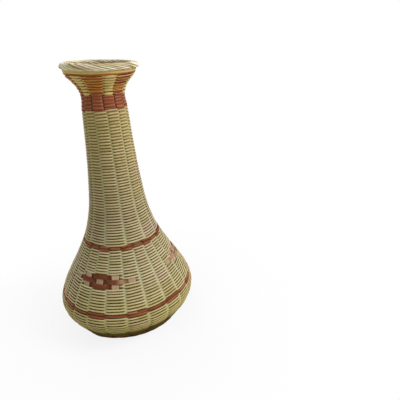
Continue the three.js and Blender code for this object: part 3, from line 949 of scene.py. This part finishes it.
# A wide floor, grey by its own colour, and how much of its glow hides that, by the distance
# from the vase's middle in metres. Round the foot it keeps its shadow.
FLOOR_REACH = 4.0
FLOOR_GREY = (0.75, 0.75, 0.75, 1)
FLOOR_ROUGHNESS = 0.9
GLOW_BY_DISTANCE = [(0.080, (0, 0, 0, 1)), (0.085, (0.85, 0.85, 0.85, 1)), (0.35, (1, 1, 1, 1))]

# How much light the world gives. Where it is seen, it is plain white.
WORLD_STRENGTH = 0.385

# Soft lamps: where each stands, its size, its power and its colour. They face one point.
LAMPS = {
    "key_lamp": ((1.6, -0.7, 1.5), 0.9, 42, (1.0, 0.975, 1.12)),
    "fill_lamp": ((-1.2, -1.0, 0.8), 1.2, 4, (1, 1, 0.9)),
    "back_lamp": ((-0.5, 1.5, 1.2), 1.2, 12, (1, 1, 1)),
}
LAMP_TARGET = (0, 0, 0.2)

# The camera: its place in metres, its turns to the right, down and clockwise in radians, and
# its focal length in pixels of a frame that is so many pixels wide. The sensor is in
# millimetres, and nothing nearer than the last value shows.
CAMERA_PLACE = (0, -0.5109, 0.4045)
CAMERA_PAN, CAMERA_PITCH, CAMERA_ROLL = 0.2676, 0.3863, 0.0362
FOCAL_PIXELS, FRAME_PIXELS = 322.04, 400
SENSOR_WIDTH = 36
NEAREST = 0.01


def placement(right, up, back, place):
    """The matrix of a lamp or camera. Its columns are the three directions and the place."""
    columns = np.column_stack([right, up, back, place])
    return Matrix([*columns.tolist(), [0, 0, 0, 1]])


def add_floor():
    """A wide white floor that keeps a soft shadow near the vase."""
    mesh = bpy.data.meshes.new("floor")
    side = FLOOR_REACH
    mesh.from_pydata([(-side, -side, 0), (side, -side, 0), (side, side, 0), (-side, side, 0)],
                     [], [(0, 1, 2, 3)])
    material, nodes, links, shader = new_material("white_floor")
    shader.inputs["Base Color"].default_value = FLOOR_GREY
    shader.inputs["Roughness"].default_value = FLOOR_ROUGHNESS
    shader.inputs["Specular IOR Level"].default_value = 0.0
    glow = nodes.new("ShaderNodeEmission")
    glow.inputs["Strength"].default_value = 1.0
    place = nodes.new("ShaderNodeTexCoord")
    far = nodes.new("ShaderNodeVectorMath")
    far.operation = "LENGTH"
    links.new(place.outputs["Object"], far.inputs[0])
    share = nodes.new("ShaderNodeMath")
    share.operation = "MULTIPLY"
    links.new(stepped(nodes, links, far.outputs["Value"], GLOW_BY_DISTANCE), share.inputs[0])
    links.new(seen_directly(nodes, links), share.inputs[1])
    blend = nodes.new("ShaderNodeMixShader")
    links.new(share.outputs[0], blend.inputs[0])
    links.new(shader.outputs[0], blend.inputs[1])
    links.new(glow.outputs[0], blend.inputs[2])
    links.new(blend.outputs[0], nodes["Material Output"].inputs["Surface"])
    mesh.materials.append(material)
    floor = new_object("floor", mesh)


def add_world():
    """An even white world, which shows as white behind the vase."""
    world = bpy.data.worlds.new("studio")
    bpy.context.scene.world = world
    world.use_nodes = True
    nodes, links = world.node_tree.nodes, world.node_tree.links
    level = ranged(nodes, links, seen_directly(nodes, links), 0, 1, WORLD_STRENGTH, 1)
    links.new(level, nodes["Background"].inputs["Strength"])
    nodes["Background"].inputs["Color"].default_value = (1, 1, 1, 1)


def add_lamp(name, place, size, power, colour):
    """A square soft lamp that faces the lamps' target."""
    light = bpy.data.lights.new(name, "AREA")
    light.size = size
    light.energy = power
    light.color = colour
    away = np.array(place) - np.array(LAMP_TARGET)
    away /= np.linalg.norm(away)
    side = np.cross((0, 0, 1), away)
    side /= np.linalg.norm(side)
    new_object(name, light).matrix_world = placement(side, np.cross(away, side), away, place)


def add_camera():
    """A camera in front of the vase and above it, turned to the right by the pan, down by the
    pitch and a little clockwise by the roll, as the photograph's was."""
    ahead = np.array([np.sin(CAMERA_PAN), np.cos(CAMERA_PAN), 0])
    forward = np.cos(CAMERA_PITCH) * ahead - np.sin(CAMERA_PITCH) * np.array([0, 0, 1])
    level = np.array([np.cos(CAMERA_PAN), -np.sin(CAMERA_PAN), 0])
    upright = np.cross(level, forward)
    right = np.cos(CAMERA_ROLL) * level - np.sin(CAMERA_ROLL) * upright
    up = np.sin(CAMERA_ROLL) * level + np.cos(CAMERA_ROLL) * upright
    lens = bpy.data.cameras.new("camera")
    lens.sensor_width = SENSOR_WIDTH
    lens.lens = SENSOR_WIDTH * FOCAL_PIXELS / FRAME_PIXELS
    lens.clip_start = NEAREST
    camera = new_object("camera", lens)
    camera.matrix_world = placement(right, up, -forward, CAMERA_PLACE)
    bpy.context.scene.camera = camera


add_floor()
add_world()
for lamp, looks in LAMPS.items():
    add_lamp(lamp, *looks)
add_camera()
bpy.context.scene.view_settings.view_transform = "Standard"
